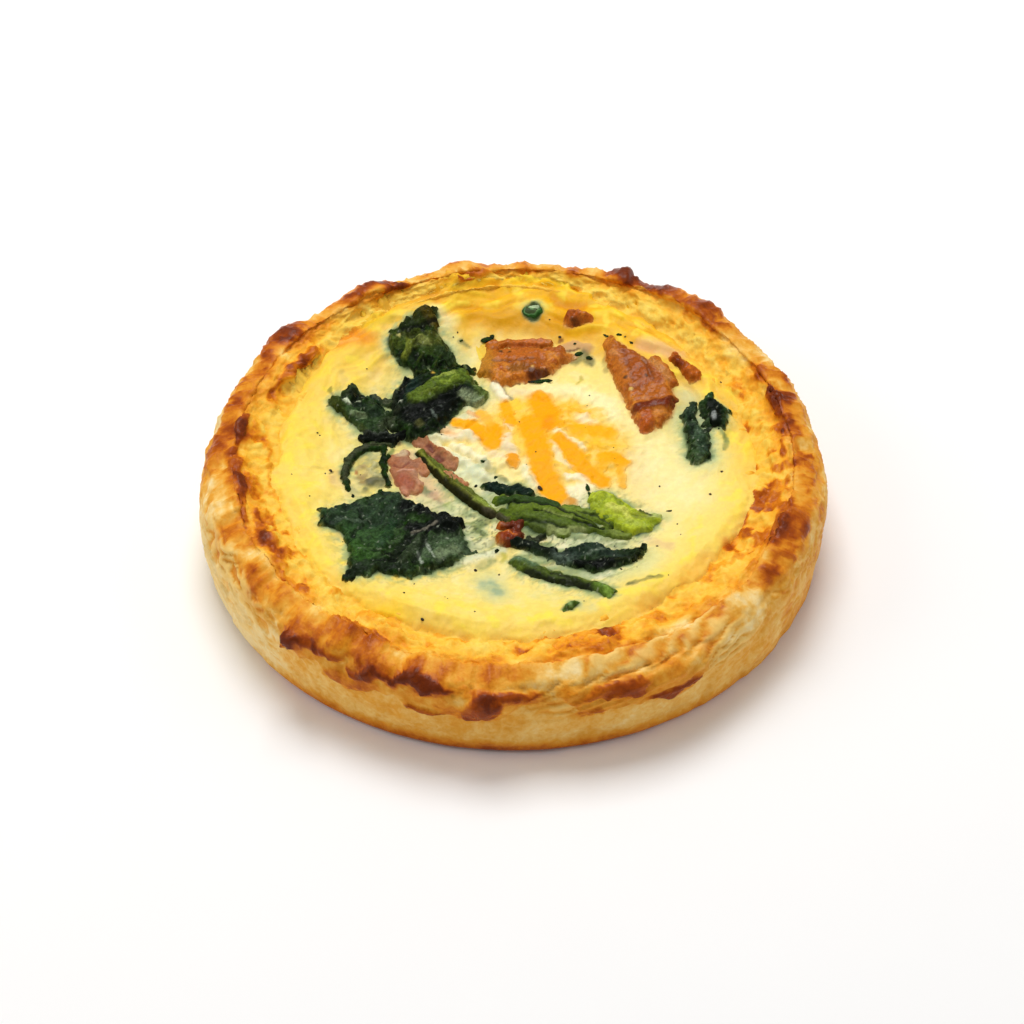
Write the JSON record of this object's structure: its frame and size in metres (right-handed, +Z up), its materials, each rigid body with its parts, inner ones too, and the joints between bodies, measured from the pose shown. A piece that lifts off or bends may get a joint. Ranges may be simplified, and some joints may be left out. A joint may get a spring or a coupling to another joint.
{
  "type": "spinach quiche",
  "caption": "Round single-serving quiche: browned, craggy puff pastry crust filled with baked egg custard, topped with spinach, bacon, ham, melted cheddar and a slice of onion.",
  "frame": {"origin": "centre of the flat base, on the surface the quiche stands on", "axes": "+Z up, +Y towards the back of the quiche as it is seen, +X to the right"},
  "size_m": [0.1204, 0.1206, 0.0231],
  "materials": {
    "pastry": "baked puff pastry, pale gold on the wall and red-brown on the rim, satin with glossy blisters",
    "custard": "soft set egg custard, creamy yellow, softly glossy",
    "spinach": "cooked spinach leaf, very dark green, moist",
    "stalk": "cooked spinach stalk, olive green, moist",
    "pale_leaf": "pale yellow-green inner leaf, moist",
    "bacon": "fried bacon, pink-brown with dark crisp edges, greasy",
    "ham": "cooked ham, dull pink, moist",
    "cheddar": "melted orange cheddar, glossy",
    "onion": "green onion, moist"
  },
  "bodies": {
    "root": {"crust": "pastry", "custard": "custard", "leaf_back": "spinach", "leaf_left": "spinach", "leaf_front": "spinach", "leaf_scrap": "spinach", "leaf_lime": "pale_leaf", "leaf_strip": "spinach", "leaf_right_inner": "spinach", "leaf_right_outer": "spinach", "leaf_crumb": "stalk", "leaf_bundle": "spinach", "strand_arch": "spinach", "strand_short": "spinach", "stem_long": "stalk", "stem_front": "stalk", "stem_bundle": "stalk", "bacon_back": "bacon", "bacon_bit_back": "bacon", "bacon_right": "bacon", "bacon_bit_right": "bacon", "bacon_bit_front": "bacon", "ham_chunk": "ham", "ham_sliver": "ham", "onion_slice": "onion", "cheddar_right": "cheddar", "cheddar_left": "cheddar"}
  },
  "joints": []
}
